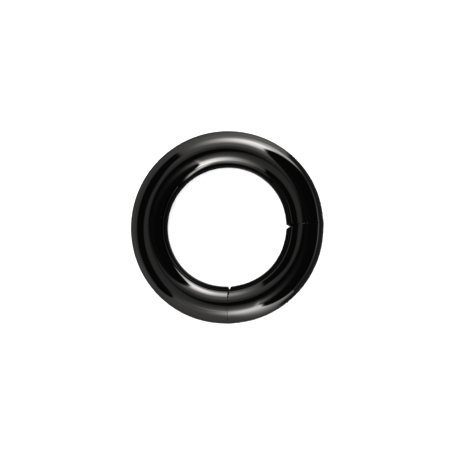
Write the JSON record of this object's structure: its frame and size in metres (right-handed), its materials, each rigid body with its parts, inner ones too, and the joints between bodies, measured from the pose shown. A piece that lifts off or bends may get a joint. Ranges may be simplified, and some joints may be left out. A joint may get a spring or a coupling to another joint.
{
  "type": "segment ring",
  "caption": "Smooth, mirror-black steel ring of round wire with a removable quarter segment, held at its ends by spring-loaded balls, to wear or to hang something on.",
  "frame": {"origin": "centre of the ring, halfway through the wire", "axes": "+Z along the ring's axis, so that the ring lies flat; +X towards the right-hand seam, +Y towards the top of the closed ring; the removable segment fills the quarter between +X and -Y"},
  "size_m": [0.026, 0.026, 0.005],
  "materials": {
    "black_coated_steel": "polished",
    "stainless_sleeve": "satin",
    "spring_wire": "satin",
    "bearing_steel": "polished"
  },
  "bodies": {
    "ring": {"ring_body": "black_coated_steel", "right_plunger_sleeve": "stainless_sleeve", "bottom_plunger_sleeve": "stainless_sleeve", "right_detent_spring": "spring_wire", "bottom_detent_spring": "spring_wire"},
    "segment": {"segment": "black_coated_steel"},
    "right_ball": {"right_detent_ball": "bearing_steel"},
    "bottom_ball": {"bottom_detent_ball": "bearing_steel"}
  },
  "joints": [
    {"name": "segment_release", "type": "slide", "parent": "ring", "child": "segment", "axis": [0.7218, -0.6921, 0], "range_m": [0, 0.012]},
    {"name": "right_ball_press", "type": "slide", "parent": "ring", "child": "right_ball", "axis": [-0.0819, 0.9966, 0], "range_m": [0, 0.0004], "stiffness_N_per_m": 1500, "springref_m": -0.0008, "deforming": ["right_detent_spring"]},
    {"name": "bottom_ball_press", "type": "slide", "parent": "ring", "child": "bottom_ball", "axis": [-0.9992, 0.0401, 0], "range_m": [0, 0.0004], "stiffness_N_per_m": 1500, "springref_m": -0.0008, "deforming": ["bottom_detent_spring"]}
  ]
}
